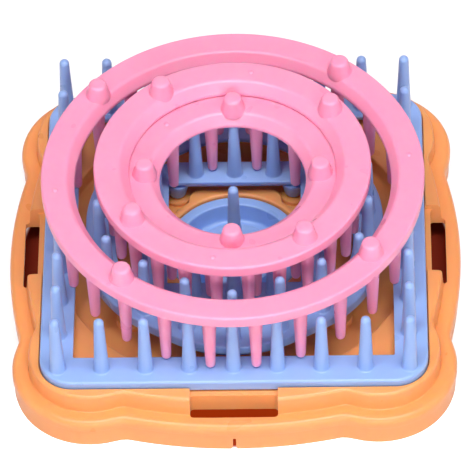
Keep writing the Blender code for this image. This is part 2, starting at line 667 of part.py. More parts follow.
def centre_dish(material):
    """The dish and its hub, turned from the cup's bottom up over the rim and in, with its post joined on."""
    under_rim = DISH_RIM_HEIGHT - DISH_RIM_THICKNESS
    mouth = DISH_RADIUS - DISH_RIM_WIDTH
    channel_floor = mouth - DISH_CHANNEL_DRAFT
    hub_foot = DISH_HUB_RADIUS + DISH_HUB_DRAFT
    cup_bottom = DISH_CHANNEL_HEIGHT - DISH_FLOOR
    cup_radius = channel_floor + DISH_WALL
    profile = [
        (cup_radius - DISH_FLOOR, cup_bottom),
        (cup_radius, DISH_CHANNEL_HEIGHT),
        (cup_radius, under_rim),
        (DISH_RADIUS, under_rim),
        (DISH_RADIUS, DISH_RIM_HEIGHT - COLLAR_EDGE_ROUND),
        (DISH_RADIUS - COLLAR_EDGE_ROUND, DISH_RIM_HEIGHT),
        (mouth, DISH_RIM_HEIGHT),
        (channel_floor, DISH_CHANNEL_HEIGHT),
        (hub_foot, DISH_CHANNEL_HEIGHT),
        (DISH_HUB_RADIUS, DISH_HUB_HEIGHT),
    ]
    dish = bmesh.new()
    turned_solid(dish, profile, DISH_FACES)
    item = add_object("centre_dish", dish, material)

    post = bmesh.new()
    rise = POST_TOP_HEIGHT - DISH_HUB_HEIGHT
    turned_solid(post, peg_profile(rise, POST_FOOT_DIAMETER, POST_TIP_DIAMETER), POST_FACES)
    boolean(item, add_object("dish_post", post, material, DISH_HUB_HEIGHT), "UNION")
    return item


def build():
    clear_scene()
    pink = plastic("pink_plastic", PINK)
    blue = plastic("blue_plastic", BLUE)
    orange = plastic("orange_plastic", ORANGE)

    pieces = [base_tray(orange), centre_dish(blue)]
    pieces.append(square_loom(
        "large_square_loom", LARGE_SQUARE_PEG_LINE, LARGE_SQUARE_PITCH, LARGE_SQUARE_SIDE_STEPS,
        LARGE_SQUARE_HALF, LARGE_SQUARE_CORNER, LARGE_SQUARE_OPENING, LARGE_SQUARE_INNER_CORNER,
        LARGE_SQUARE_SLOPE, LARGE_SQUARE_PEG_HEIGHT, LARGE_SQUARE_FOOT_STEPS, LARGE_SQUARE_Z, blue))
    pieces.append(square_loom(
        "small_square_loom", SMALL_SQUARE_PEG_LINE, SMALL_SQUARE_PITCH, SMALL_SQUARE_SIDE_STEPS,
        SMALL_SQUARE_HALF, SMALL_SQUARE_CORNER, SMALL_SQUARE_OPENING, SMALL_SQUARE_INNER_CORNER,
        SMALL_SQUARE_SLOPE, SMALL_SQUARE_PEG_HEIGHT, SMALL_SQUARE_FOOT_STEPS, SMALL_SQUARE_Z, blue))

    corner_drop = HEXAGON_CORNER_OFFSET * math.cos(math.pi / HEXAGON_SIDES)
    hexagon = [rounded_polygon_outline(HEXAGON_SIDES, apothem, apothem - corner_drop, HEXAGON_CORNER_STEPS,
                                       math.pi / 2)
               for apothem in (HEXAGON_OUTER_APOTHEM, HEXAGON_INNER_APOTHEM)]
    pieces.append(loom_frame(
        "hexagon_loom", hexagon[0], hexagon[1], HEXAGON_SLOPE, hexagon_pegs(), HEXAGON_PEG_HEIGHT,
        hexagon_feet(), HEXAGON_Z, False, blue))

    pieces.append(ring_loom(
        "large_ring_loom", LARGE_RING_OUTER_RADIUS, LARGE_RING_HOLE_RADIUS, LARGE_RING_SLOPE,
        LARGE_RING_FACES, LARGE_RING_PEG_RADIUS, LARGE_RING_PEG_COUNT, LARGE_RING_PEG_HEIGHT,
        LARGE_RING_FOOT_ANGLE, LARGE_RING_Z, pink))
    pieces.append(ring_loom(
        "medium_ring_loom", MEDIUM_RING_OUTER_RADIUS, MEDIUM_RING_HOLE_RADIUS, MEDIUM_RING_SLOPE,
        MEDIUM_RING_FACES, MEDIUM_RING_PEG_RADIUS, MEDIUM_RING_PEG_COUNT, MEDIUM_RING_PEG_HEIGHT,
        MEDIUM_RING_FOOT_ANGLE, MEDIUM_RING_Z, pink))
    pieces.append(ring_loom(
        "small_ring_loom", SMALL_RING_OUTER_RADIUS, SMALL_RING_HOLE_RADIUS, SMALL_RING_SLOPE,
        SMALL_RING_FACES, SMALL_RING_PEG_RADIUS, SMALL_RING_PEG_COUNT, SMALL_RING_PEG_HEIGHT,
        SMALL_RING_FOOT_ANGLE, SMALL_RING_Z, pink))

    stand = bpy.data.objects.new("stack_axis", None)
    bpy.context.scene.collection.objects.link(stand)
    for piece in pieces:
        piece.parent = stand


build()
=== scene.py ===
import math

import bpy
import bmesh
from mathutils import Matrix, Vector


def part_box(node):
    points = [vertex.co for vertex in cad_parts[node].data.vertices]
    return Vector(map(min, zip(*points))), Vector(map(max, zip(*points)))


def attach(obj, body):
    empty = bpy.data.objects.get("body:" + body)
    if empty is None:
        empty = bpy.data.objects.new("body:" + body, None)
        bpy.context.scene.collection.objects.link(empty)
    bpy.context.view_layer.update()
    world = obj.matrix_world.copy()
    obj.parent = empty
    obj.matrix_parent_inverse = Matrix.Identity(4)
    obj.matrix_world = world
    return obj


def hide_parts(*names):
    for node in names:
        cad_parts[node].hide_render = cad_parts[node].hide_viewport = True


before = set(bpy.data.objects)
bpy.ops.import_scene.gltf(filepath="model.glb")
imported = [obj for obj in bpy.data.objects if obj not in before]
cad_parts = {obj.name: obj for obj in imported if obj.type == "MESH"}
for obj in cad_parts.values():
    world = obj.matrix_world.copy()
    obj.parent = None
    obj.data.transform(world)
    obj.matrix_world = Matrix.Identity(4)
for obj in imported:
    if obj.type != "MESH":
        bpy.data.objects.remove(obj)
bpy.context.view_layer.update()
scene = bpy.context.scene
scene.view_settings.view_transform = "Standard"


# Camera
# A long lens from about a metre and a half away, looking down on the set at 49 degrees. It aims at the
# middle of the large square loom's top face and is rolled and shifted by what the framing needs.
camera_distance = 1.5469
camera_elevation = math.radians(48.93)
camera_yaw = math.radians(1.746)
camera_roll = math.radians(-1.919)
camera_aim = Vector((0, 0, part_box("large_square_loom")[0].z + 0.0097))
camera_data = bpy.data.cameras.new("camera")
camera_data.sensor_width = 36.0
camera_data.lens = 366.9
camera_data.shift_x = -0.0033
camera_data.shift_y = 0.0042
camera_data.clip_end = 10.0
camera = bpy.data.objects.new("camera", camera_data)
scene.collection.objects.link(camera)
sight = Vector((-math.sin(camera_yaw) * math.cos(camera_elevation),
                math.cos(camera_yaw) * math.cos(camera_elevation),
                -math.sin(camera_elevation)))
level_right = Vector((math.cos(camera_yaw), math.sin(camera_yaw), 0))
level_up = level_right.cross(sight)
right = math.cos(camera_roll) * level_right + math.sin(camera_roll) * level_up
up = -math.sin(camera_roll) * level_right + math.cos(camera_roll) * level_up
camera.matrix_world = Matrix.Translation(camera_aim - camera_distance * sight) @ Matrix(
    (right, up, -sight)).transposed().to_4x4()
scene.camera = camera


# Studio
# A narrow soft box overhead and a low one in front carry the light, with weak fills left, right and behind
# and a dim pink room. The table reads as white to the camera; under the set it is painted a dark red shade,
# with a painted red glow just behind the front wall.
def soft_box(name, place, size, watts, aim=(0, 0, 0.03)):
    lamp = bpy.data.lights.new(name, "AREA")
    lamp.shape = "RECTANGLE"
    lamp.size, lamp.size_y = size
    lamp.energy = watts
    holder = bpy.data.objects.new(name, lamp)
    scene.collection.objects.link(holder)
    holder.location = place
    holder.rotation_mode = "QUATERNION"
    holder.rotation_quaternion = (Vector(aim) - Vector(place)).to_track_quat("-Z", "Y")


soft_box("overhead_box", (0.05, -0.27, 1.0), (0.9, 0.3), 10.0)
soft_box("front_box", (0.12, -1.2, 0.52), (0.9, 0.35), 8.0)
soft_box("left_fill", (-1.0, -0.2, 0.5), (0.5, 0.7), 1.2)
soft_box("right_fill", (1.0, -0.2, 0.5), (0.5, 0.7), 0.9)
soft_box("back_fill", (0.0, 1.1, 0.6), (0.8, 0.5), 1.6)

world = bpy.data.worlds.new("studio_room")
scene.world = world
world.use_nodes = True
room = world.node_tree
room_path = room.nodes.new("ShaderNodeLightPath")
seen = room.nodes.new("ShaderNodeMath")
seen.operation = "MAXIMUM"
room_strength = room.nodes.new("ShaderNodeMapRange")
room_strength.inputs["To Min"].default_value = 0.20
room_strength.inputs["To Max"].default_value = 1.0
bounced_pink = (1.0, 0.45, 0.62, 1.0)
pure_white = (1.0, 1.0, 1.0, 1.0)
room_tint = room.nodes.new("ShaderNodeMix")
room_tint.data_type = "RGBA"
room_tint.inputs[6].default_value = bounced_pink
room_tint.inputs[7].default_value = pure_white
room.links.new(room_path.outputs["Is Camera Ray"], seen.inputs[0])
room.links.new(room_path.outputs["Is Transmission Ray"], seen.inputs[1])
room.links.new(seen.outputs[0], room_strength.inputs["Value"])
room.links.new(room_strength.outputs["Result"], room.nodes["Background"].inputs["Strength"])
room.links.new(seen.outputs[0], room_tint.inputs[0])
room.links.new(room_tint.outputs[2], room.nodes["Background"].inputs["Color"])

table_width = 6.0
table_drop = 0.0002
painted_shade_radius = 0.0715
painted_shade_end_radius = 0.073
# Painted shade: inside this radius the table's colour turns dark red, in place of the shadow under the
# tray.
painted_shade_paper = (0.25, 0.03, 0.015, 1.0)
open_paper = (0.30, 0.30, 0.30, 1.0)
# Painted light: the red glow colour for the paper just behind the front wall, set by the front_glow values.
painted_red_glow = (0.55, 0.045, 0.004, 1.0)
open_glow_strength = 0.78
front_glow_start = -0.046
front_glow_end = -0.054
front_glow_strength = 0.55
bpy.ops.mesh.primitive_plane_add(size=table_width, location=(0, 0, -table_drop))
table_top = bpy.context.object
table_top.name = "table_top"
paper = bpy.data.materials.new("white_paper_with_painted_shade")
paper.use_nodes = True
nodes = paper.node_tree.nodes
links = paper.node_tree.links
nodes.clear()
output = nodes.new("ShaderNodeOutputMaterial")
matte = nodes.new("ShaderNodeBsdfDiffuse")
matte.inputs["Color"].default_value = (0.8, 0.8, 0.8, 1.0)
shaded = nodes.new("ShaderNodeBsdfDiffuse")
glow = nodes.new("ShaderNodeEmission")
lifted = nodes.new("ShaderNodeAddShader")
path = nodes.new("ShaderNodeLightPath")
by_camera = nodes.new("ShaderNodeMixShader")
# Under the set the white glow stops and the paper is painted a dark red shade, so what shows through the
# finger slots reads as shadow.
spot = nodes.new("ShaderNodeTexCoord")
from_axis = nodes.new("ShaderNodeVectorMath")
from_axis.operation = "LENGTH"
outside = nodes.new("ShaderNodeMapRange")
outside.inputs["From Min"].default_value = painted_shade_radius
outside.inputs["From Max"].default_value = painted_shade_end_radius
paper_colour = nodes.new("ShaderNodeMix")
paper_colour.data_type = "RGBA"
paper_colour.inputs[6].default_value = painted_shade_paper
paper_colour.inputs[7].default_value = open_paper
glow_colour = nodes.new("ShaderNodeMix")
glow_colour.data_type = "RGBA"
glow_colour.inputs[6].default_value = painted_red_glow
glow_colour.inputs[7].default_value = pure_white
# Painted light: the table just behind the front wall glows red, in place of strong light on the front wall
# that comes through the orange shell.
along = nodes.new("ShaderNodeSeparateXYZ")
painted_glow_behind_wall = nodes.new("ShaderNodeMapRange")
painted_glow_behind_wall.inputs["From Min"].default_value = front_glow_start
painted_glow_behind_wall.inputs["From Max"].default_value = front_glow_end
painted_glow_behind_wall.inputs["To Max"].default_value = front_glow_strength
paper_glow = nodes.new("ShaderNodeMath")
paper_glow.operation = "MULTIPLY_ADD"
paper_glow.inputs[1].default_value = open_glow_strength
links.new(spot.outputs["Object"], from_axis.inputs[0])
links.new(from_axis.outputs["Value"], outside.inputs["Value"])
links.new(outside.outputs["Result"], paper_colour.inputs[0])
links.new(paper_colour.outputs[2], shaded.inputs["Color"])
links.new(outside.outputs["Result"], glow_colour.inputs[0])
links.new(glow_colour.outputs[2], glow.inputs["Color"])
links.new(spot.outputs["Object"], along.inputs[0])
links.new(along.outputs["Y"], painted_glow_behind_wall.inputs["Value"])
links.new(outside.outputs["Result"], paper_glow.inputs[0])
links.new(painted_glow_behind_wall.outputs["Result"], paper_glow.inputs[2])
links.new(paper_glow.outputs[0], glow.inputs["Strength"])
links.new(shaded.outputs[0], lifted.inputs[0])
links.new(glow.outputs[0], lifted.inputs[1])
links.new(path.outputs["Is Camera Ray"], by_camera.inputs[0])
links.new(matte.outputs[0], by_camera.inputs[1])
links.new(lifted.outputs[0], by_camera.inputs[2])
links.new(by_camera.outputs[0], output.inputs["Surface"])
table_top.data.materials.append(paper)


# Storage tray
# One injection-moulded shell in orange plastic: a lobed outer wall, a raised rim round the square recess,
# a round well and the collar that grips the dish. Finger slots are moulded through the rim on each side.
def polar(radius, turn):
    """The (x, y) place at a radius and a turn about the Z axis."""
    return Vector((radius * math.cos(turn), radius * math.sin(turn)))


def start_fresh(add, **settings):
    """Deselect everything, add a primitive and go into edit mode on it."""
    if bpy.context.object and bpy.context.object.mode == "EDIT":
        bpy.ops.object.mode_set(mode="OBJECT")
    bpy.ops.object.select_all(action="DESELECT")
    add(**settings)
    bpy.ops.object.mode_set(mode="EDIT")
    return bpy.context.object


def extrude_round(loops, closed):
    """From a circle of vertices, extrude one edge loop after another and set each on its own outline.

    A loop is a list of (x, y, z) places, one for each vertex of the circle. With closed, the last loop
    is bridged to the first and the shape is a ring; otherwise both ends are filled."""
    item = start_fresh(bpy.ops.mesh.primitive_circle_add, vertices=len(loops[0]), radius=0.01)
    for number, loop in enumerate(loops):
        if number:
            bpy.ops.mesh.extrude_edges_move()
        mesh = bmesh.from_edit_mesh(item.data)
        mesh.verts.ensure_lookup_table()
        first = number * len(loop)
        for index, place in enumerate(loop):
            mesh.verts[first + index].co = place
        bmesh.update_edit_mesh(item.data)
    count = len(loops[0])
    last = len(loops) - 1
    bpy.ops.mesh.select_mode(type="EDGE")
    if closed:
        select_loops(item, count, (0, last))
        bpy.ops.mesh.bridge_edge_loops()
    else:
        for end in (0, last):
            select_loops(item, count, (end,))
            bpy.ops.mesh.edge_face_add()
    bpy.ops.mesh.select_all(action="SELECT")
    bpy.ops.mesh.normals_make_consistent(inside=False)
    bpy.ops.object.mode_set(mode="OBJECT")
    return item


def select_loops(item, count, numbers):
    """Select only the edges of the numbered loops, each of which has count vertices."""
    bpy.ops.mesh.select_all(action="DESELECT")
    mesh = bmesh.from_edit_mesh(item.data)
    mesh.verts.ensure_lookup_table()
    for edge in mesh.edges:
        ends = [vertex.index // count for vertex in edge.verts]
        if ends[0] == ends[1] and ends[0] in numbers:
            edge.select_set(True)
    bmesh.update_edit_mesh(item.data)


def rounded_corners(points, steps):
    """Round each corner of a closed section. A point is (radius, height, how far the round cuts back)."""
    spots = [Vector(point[:2]) for point in points]
    section = []
    for index, spot in enumerate(spots):
        before = spots[index - 1]
        after = spots[(index + 1) % len(spots)]
        longest = 0.48 * min((before - spot).length, (after - spot).length)
        cut = min(points[index][2], longest)
        start = spot + (before - spot).normalized() * cut
        end = spot + (after - spot).normalized() * cut
        for step in range(steps + 1):
            share = step / steps
            section.append(start * (1 - share) ** 2 + spot * 2 * share * (1 - share) + end * share ** 2)
    return section


overhang = 0.0004
tray_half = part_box("base_tray")[1].x - overhang
bulge_radius = 0.145
lobe_centre = 0.04607
lobe_radius = 0.025
notch_blend = 0.002
recess_half = 0.0623
recess_corner = 0.0111
deck_height = 0.0153
well_radius = 0.0584
well_draft = 0.0005
floor_height = 0.010
shell = 0.002
wall_top = 0.0070
flange_underside = 0.0072
flange_edge = 0.0097
flange_shoulder = 0.0109
flange_shoulder_inset = 0.0006
flange_top = 0.0110
flange_top_inset = 0.0022
valley_inset = 0.0048
valley_height = 0.0106
ridge_share = 0.88
ridge_height = 0.0174
recess_edge_height = 0.0177
rim_underside = 0.0087
rim_inner_inset = 0.0114
rim_outer_inset = 0.0107
collar_top = 0.014
collar_reach = 0.0258
collar_half_width = 0.0155
collar_corner = 0.005
collar_disc = 0.0252
collar_bore = 0.0227
ledge_height = 0.0110
ledge_hole = 0.0203


def far_crossing(distance, radius, turn):
    """How far out a ray from the axis leaves a circle whose centre lies at the distance."""
    reach = radius ** 2 - (distance * math.sin(turn)) ** 2
    return distance * math.cos(turn) + math.sqrt(reach) if reach > 0 else 0.0


def from_side(turn):
    """The turn from the nearest of the four sides' middles, 0 to 45 degrees."""
    quarter = turn % (math.pi / 2)
    return min(quarter, math.pi / 2 - quarter)


def lobed(turn, inset):
    """Radius of the outer outline, four slightly bulging sides blended into four corner lobes."""
    near = from_side(turn)
    bulge = far_crossing(tray_half - bulge_radius, bulge_radius - inset, near)
    lobe = far_crossing(lobe_centre * math.sqrt(2), lobe_radius - inset, math.pi / 4 - near)
    blend = max(notch_blend - abs(bulge - lobe), 0) / notch_blend
    return max(bulge, lobe) + blend ** 2 * notch_blend / 4


def recess(turn):
    """Radius of the square recess, with its rounded corners."""
    near = from_side(turn)
    flat = recess_half / math.cos(near)
    centre = recess_half - recess_corner
    if flat * math.sin(near) <= centre:
        return flat
    return far_crossing(centre * math.sqrt(2), recess_corner, math.pi / 4 - near)


def bar_end(turn):
    """Radius of one arm of the collar, a bar with rounded corners."""
    centre = Vector((collar_reach - collar_corner, collar_half_width - collar_corner))
    flat = collar_reach / math.cos(turn)
    if flat * math.sin(turn) <= centre.y:
        return flat
    side = collar_half_width / math.sin(turn)
    if side * math.cos(turn) <= centre.x:
        return side
    return far_crossing(centre.length, collar_corner, turn - math.atan2(centre.y, centre.x))


def collar(turn):
    """Radius of the collar's outer wall, two crossed bars over a round disc."""
    near = from_side(turn)
    long_bar = bar_end(near)
    cross_bar = bar_end(math.pi / 2 - near) if near > 0 else 0.0
    return max(long_bar, cross_bar, collar_disc)


def tray_section(turn):
    """The tray's wall from the ground up over the rim, in to the dish's ledge and back underneath."""
    edge = recess(turn)
    valley = lobed(turn, valley_inset)
    return [
        (lobed(turn, 0), 0.0, 0.0004),
        (lobed(turn, 0), wall_top, 0.0001),
        (lobed(turn, -overhang), flange_underside, 0.0002),
        (lobed(turn, -overhang), flange_edge, 0.0012),
        (lobed(turn, flange_shoulder_inset), flange_shoulder, 0.0010),
        (lobed(turn, flange_top_inset), flange_top, 0.0010),
        (valley, valley_height, 0.0006),
        (edge + ridge_share * (valley - edge), ridge_height, 0.0011),
        (edge, recess_edge_height, 0.0006),
        (edge, deck_height, 0.0003),
        (well_radius, deck_height, 0.0007),
        (well_radius - well_draft, floor_height, 0.0012),
        (collar(turn), floor_height, 0.0008),
        (collar(turn), collar_top, 0.0012),
        (collar_bore, collar_top, 0.0009),
        (collar_bore, ledge_height, 0.0002),
        (ledge_hole, ledge_height, 0.0003),
        (ledge_hole, floor_height - shell, 0.0003),
        (well_radius + shell - well_draft, floor_height - shell, 0.0010),
        (well_radius + shell, deck_height - shell, 0.0010),
        (lobed(turn, rim_inner_inset), deck_height - shell, 0.0010),
        (lobed(turn, rim_outer_inset), rim_underside, 0.0010),
        (lobed(turn, shell), rim_underside, 0.0010),
        (lobed(turn, shell), 0.0, 0.0003),
    ]


# Thirty steps along half a side and eighteen round half a corner, mirrored and repeated on all four sides.
tangent = math.atan2(recess_half - recess_corner, recess_half)
eighth = []
for start, end, steps in ((0, tangent, 30), (tangent, math.pi / 4, 18)):
    eighth += [start + (end - start) * step / steps for step in range(steps)]
quarter = eighth + [math.pi / 2 - turn for turn in [math.pi / 4] + eighth[:0:-1]]
tray_turns = [turn + math.pi / 2 * side for side in range(4) for turn in quarter]
sections = [rounded_corners(tray_section(turn), 3) for turn in tray_turns]
tray_loops = [[(*polar(section[number].x, turn), section[number].y)
               for section, turn in zip(sections, tray_turns)]
              for number in range(len(sections[0]))]
tray = extrude_round(tray_loops, closed=True)
tray.name = "storage_tray"


def cut_with(item, tool, operation="DIFFERENCE"):
    """Apply a boolean with a second object and delete that object."""
    bpy.ops.object.select_all(action="DESELECT")
    bpy.context.view_layer.objects.active = item
    modifier = item.modifiers.new("boolean", "BOOLEAN")
    modifier.operation = operation
    modifier.object = tool
    modifier.solver = "MANIFOLD"
    bpy.ops.object.modifier_apply(modifier=modifier.name)
    bpy.data.objects.remove(tool, do_unlink=True)


def turned(profile, faces, flip=False):
    """Turn an open profile of (radius, height), from its lower end to its upper end, about the Z axis."""
    sign = -1 if flip else 1
    loops = []
    for radius, height in profile:
        places = [polar(radius, 2 * math.pi * step / faces) for step in range(faces)]
        loops.append([(spot.x, sign * spot.y, sign * height) for spot in places])
    return extrude_round(loops, closed=False)


def join_stubs(item, profile, places, faces, base, down, operation="UNION"):
    """Turn one small form, copy it to every place and join the copies to the item, or cut them from it."""
    first = turned(profile, faces, flip=down)
    copies = []
    for x, y in places:
        twin = first.copy()
        twin.data = first.data.copy()
        twin.data.transform(Matrix.Translation((x, y, base)))
        scene.collection.objects.link(twin)
        copies.append(twin)
    bpy.data.objects.remove(first, do_unlink=True)
    bpy.ops.object.select_all(action="DESELECT")
    for twin in copies:
        twin.select_set(True)
    bpy.context.view_layer.objects.active = copies[0]
    bpy.ops.object.join()
    cut_with(item, copies[0], operation)


def rounded_block(low, high, upright_round):
    """A cube scaled between two corners, with its upright edges bevelled."""
    middle = [(a + b) / 2 for a, b in zip(low, high)]
    item = start_fresh(bpy.ops.mesh.primitive_cube_add, size=1.0, location=(0, 0, 0))
    bpy.ops.transform.resize(value=[b - a for a, b in zip(low, high)])
    bpy.ops.transform.translate(value=middle)
    bpy.ops.mesh.select_mode(type="EDGE")
    bpy.ops.mesh.select_all(action="DESELECT")
    mesh = bmesh.from_edit_mesh(item.data)
    for side in mesh.edges:
        rise = side.verts[0].co - side.verts[1].co
        side.select_set(abs(rise.z) > 0.9 * (high[2] - low[2]))
    bmesh.update_edit_mesh(item.data)
    bpy.ops.mesh.bevel(offset=upright_round, segments=6, affect="EDGES")
    bpy.ops.object.mode_set(mode="OBJECT")
    return item


# A finger slot goes down through each side's rim, and the ridge is cut away between it and the recess.
overrun = 0.001
slot_half = 0.014
slot_inner = 0.064
slot_outer = 0.069
slot_round = 0.0012
strip_height = 0.0156
strip_inset = 0.0006
strip_round = 0.0002
slot_top = 0.019
slot_bottom = 0.005
for side in range(4):
    quarter_turn = Matrix.Rotation(math.pi / 2 * side, 4, "Z")
    through = rounded_block((-slot_half, -slot_outer, slot_bottom), (slot_half, -slot_inner, slot_top),
                            slot_round)
    through.data.transform(quarter_turn)
    cut_with(tray, through)
    strip = rounded_block((-slot_half, -slot_outer + strip_inset, strip_height),
                          (slot_half, -recess_half + overrun, slot_top), strip_round)
    strip.data.transform(quarter_turn)
    cut_with(tray, strip)

# A narrow slit at the foot of the front wall widens to a small triangle at the ground.
slit_half = 0.0005
slit_depth = 0.003
slit_height = 0.0052
slit_round = 0.0001
slit = rounded_block((-slit_half, -tray_half - overrun, -overrun),
                     (slit_half, -tray_half + slit_depth, slit_height), slit_round)
cut_with(tray, slit)
flare_radius = 0.0024
flare_depth = 0.004
flare_drop = 0.0003
flare = start_fresh(bpy.ops.mesh.primitive_cylinder_add, vertices=3, radius=flare_radius, depth=flare_depth,
                    location=(0, -tray_half + overrun, -flare_drop), rotation=(math.pi / 2, 0, 0))
bpy.ops.object.mode_set(mode="OBJECT")
bpy.ops.object.transform_apply(location=True, rotation=True, scale=True)
cut_with(tray, flare)


def four_feet(across, along):
    """Places of four feet, at half a rectangle's sides from its middle."""
    return [(x * across, y * along) for x in (-1, 1) for y in (-1, 1)]


# Pads on the well's floor for the feet of the two inner looms, and holes in the deck for the outer one's.
square_line = 0.056
square_foot_offset = 0.035
small_square_line = 0.0255
small_square_foot_offset = 0.019125
side_peg_radius = 0.044
hexagon_foot_turns = (40, 140, 220, 320)
hexagon_feet = [polar(side_peg_radius, math.radians(turn)) for turn in hexagon_foot_turns]
small_square_feet = four_feet(small_square_foot_offset, small_square_line)
large_square_feet = four_feet(square_foot_offset, square_line)
hexagon_pad_height = 0.0024
small_square_pad_height = 0.0014
pad_radius = 0.0045
pad_round = 0.0003
pad_centre = 0.0005
pad_faces = 40
foot_hole_radius = 0.0043
for height, places in ((hexagon_pad_height, hexagon_feet), (small_square_pad_height, small_square_feet)):
    pad = [(pad_radius, -shell / 2), (pad_radius, height - pad_round), (pad_radius - pad_round, height),
           (pad_centre, height)]
    join_stubs(tray, pad, places, pad_faces, floor_height, False)
foot_hole = [(foot_hole_radius, -shell - overrun), (foot_hole_radius, overrun)]
join_stubs(tray, foot_hole, large_square_feet, pad_faces, deck_height, False, "DIFFERENCE")


def smooth(item):
    """Shade smooth up to a sharp angle, and let the large flat faces set the normals."""
    bpy.ops.object.select_all(action="DESELECT")
    bpy.context.view_layer.objects.active = item
    item.select_set(True)
    bpy.ops.object.shade_smooth_by_angle(angle=math.radians(35))
    flat = item.modifiers.new("flat_faces", "WEIGHTED_NORMAL")
    flat.keep_sharp = True
    bpy.ops.object.modifier_apply(modifier=flat.name)


def moulded_plastic(name, colour, shade, glow, tint, reach=0.002):
    """Glossy moulded plastic: a faint cloudiness in the colour, and a skin that is not quite even.

    The colour drifts to the shade; glow, tint and reach say how much light goes into it, and how far."""
    roughness = 0.29
    material = bpy.data.materials.new(name)
    material.use_nodes = True
    tree = material.node_tree
    shader = tree.nodes["Principled BSDF"]
    place = tree.nodes.new("ShaderNodeTexCoord")
    clouds = tree.nodes.new("ShaderNodeTexNoise")
    clouds.inputs["Scale"].default_value = 45.0
    clouds.inputs["Detail"].default_value = 3.0
    blend = tree.nodes.new("ShaderNodeMix")
    blend.data_type = "RGBA"
    blend.inputs[6].default_value = (*colour, 1.0)
    blend.inputs[7].default_value = (*shade, 1.0)
    skin = tree.nodes.new("ShaderNodeTexNoise")
    skin.inputs["Scale"].default_value = 900.0
    skin.inputs["Detail"].default_value = 2.0
    wave = tree.nodes.new("ShaderNodeTexNoise")
    wave.inputs["Scale"].default_value = 120.0
    wave.inputs["Detail"].default_value = 1.0
    gloss = tree.nodes.new("ShaderNodeMapRange")
    gloss.inputs["To Min"].default_value = roughness - 0.05
    gloss.inputs["To Max"].default_value = roughness + 0.07
    fine = tree.nodes.new("ShaderNodeBump")
    fine.inputs["Strength"].default_value = 0.05
    fine.inputs["Distance"].default_value = 0.00004
    broad = tree.nodes.new("ShaderNodeBump")
    broad.inputs["Strength"].default_value = 0.12
    broad.inputs["Distance"].default_value = 0.0002
    link = tree.links.new
    for texture in (clouds, skin, wave):
        link(place.outputs["Object"], texture.inputs["Vector"])
    link(clouds.outputs["Fac"], blend.inputs[0])
    link(blend.outputs[2], shader.inputs["Base Color"])
    link(wave.outputs["Fac"], gloss.inputs["Value"])
    link(gloss.outputs["Result"], shader.inputs["Roughness"])
    link(wave.outputs["Fac"], broad.inputs["Height"])
    link(skin.outputs["Fac"], fine.inputs["Height"])
    link(broad.outputs["Normal"], fine.inputs["Normal"])
    link(fine.outputs["Normal"], shader.inputs["Normal"])
    shader.inputs["IOR"].default_value = 1.5
    shader.inputs["Subsurface Weight"].default_value = glow
    shader.inputs["Subsurface Radius"].default_value = tint
    shader.inputs["Subsurface Scale"].default_value = reach
    return material


def make_of(item, material):
    """Give every face the one material; the booleans leave an empty slot behind."""
    item.data.materials.clear()
    item.data.materials.append(material)
    for face in item.data.polygons:
        face.material_index = 0


smooth(tray)
make_of(tray, moulded_plastic("orange_moulding", (0.88, 0.385, 0.13), (0.86, 0.355, 0.12),
                              glow=0.30, tint=(1.0, 0.25, 0.06), reach=0.003))
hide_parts("base_tray")
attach(tray, "tray")


# Centre dish
# A blue cup with a flat rim, pressed into the tray's collar. Its raised hub carries one tapered post, and
# the channel round the hub takes stitch markers. Turned as one shape, then joined to its post.
root_depth = 0.0012
just_below_face = -0.00003


def tapered_peg(height, foot, tip):
    """Profile of a peg: a root sunk in its plate, a small fillet, the taper and the domed tip."""
    fillet = 0.0006
    crown_share = 0.06
    shoulder = height - tip
    slope = (foot - tip) / shoulder
    profile = [(foot + fillet, -root_depth), (foot + fillet, just_below_face)]
    for step in range(1, 5):
        turn = math.pi / 2 * step / 4
        profile.append((foot + fillet * (1 - math.sin(turn)), fillet * (1 - math.cos(turn))))
    profile.append((foot - slope * height * 0.5, height * 0.5))
    for step in range(8):
        turn = math.pi / 2 * step / 8
        profile.append((tip * math.cos(turn), shoulder + tip * math.sin(turn)))
    profile.append((tip * crown_share, height))
    return profile


def blue_moulding(name):
    return moulded_plastic(name, (0.295, 0.475, 0.83), (0.275, 0.445, 0.81),
                           glow=0.20, tint=(0.35, 0.5, 1.0))


dish_radius = 0.0224
dish_rim_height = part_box("base_tray")[1].z - 0.0045
dish_rim_width = 0.0035
dish_rim_underside = 0.0113
dish_channel = 0.006
dish_underside = dish_channel - 0.0016
dish_cup_radius = 0.0197
dish_base_radius = 0.0181
dish_channel_radius = 0.0183
dish_centre = 0.0012
hub_radius = 0.0135
hub_height = 0.0103
post_top = 0.043
post_foot = 0.0027
post_tip = 0.00165
dish_section = [
    (dish_centre, dish_underside, 0),
    (dish_base_radius, dish_underside, 0.0010),
    (dish_cup_radius, dish_channel + 0.001, 0.001),
    (dish_cup_radius, dish_rim_underside, 0.0002),
    (dish_radius, dish_rim_underside, 0.0003),
    (dish_radius, dish_rim_height, 0.0007),
    (dish_radius - dish_rim_width, dish_rim_height, 0.0007),
    (dish_channel_radius, dish_channel, 0.0012),
    (hub_radius + 0.0005, dish_channel, 0.0009),
    (hub_radius, hub_height, 0.0008),
    (dish_centre, hub_height, 0),
]
corner_steps = 4
inside = slice(corner_steps + 1, -corner_steps - 1)
dish_profile = [dish_section[0][:2]]
dish_profile += [tuple(spot) for spot in rounded_corners(dish_section, corner_steps)[inside]]
dish_profile.append(dish_section[-1][:2])
dish = turned(dish_profile, 128)
dish.name = "dish_with_post"
post_profile = [(radius, height + hub_height)
                for radius, height in tapered_peg(post_top - hub_height, post_foot, post_tip)]
cut_with(dish, turned(post_profile, 40), "UNION")
smooth(dish)
make_of(dish, blue_moulding("blue_moulding"))
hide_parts("centre_dish")
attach(dish, "tray")


# Large square loom
# A flat square frame in blue plastic with nine pegs a side standing on it. The inner wall slopes under a
# small lip, and four round feet below drop into holes in the tray's deck.
plate = 0.0044
peg_height = 0.024
peg_foot = 0.00245
peg_tip = 0.0016
peg_faces = 28
knob_height = 0.0053
knob_faces = 32


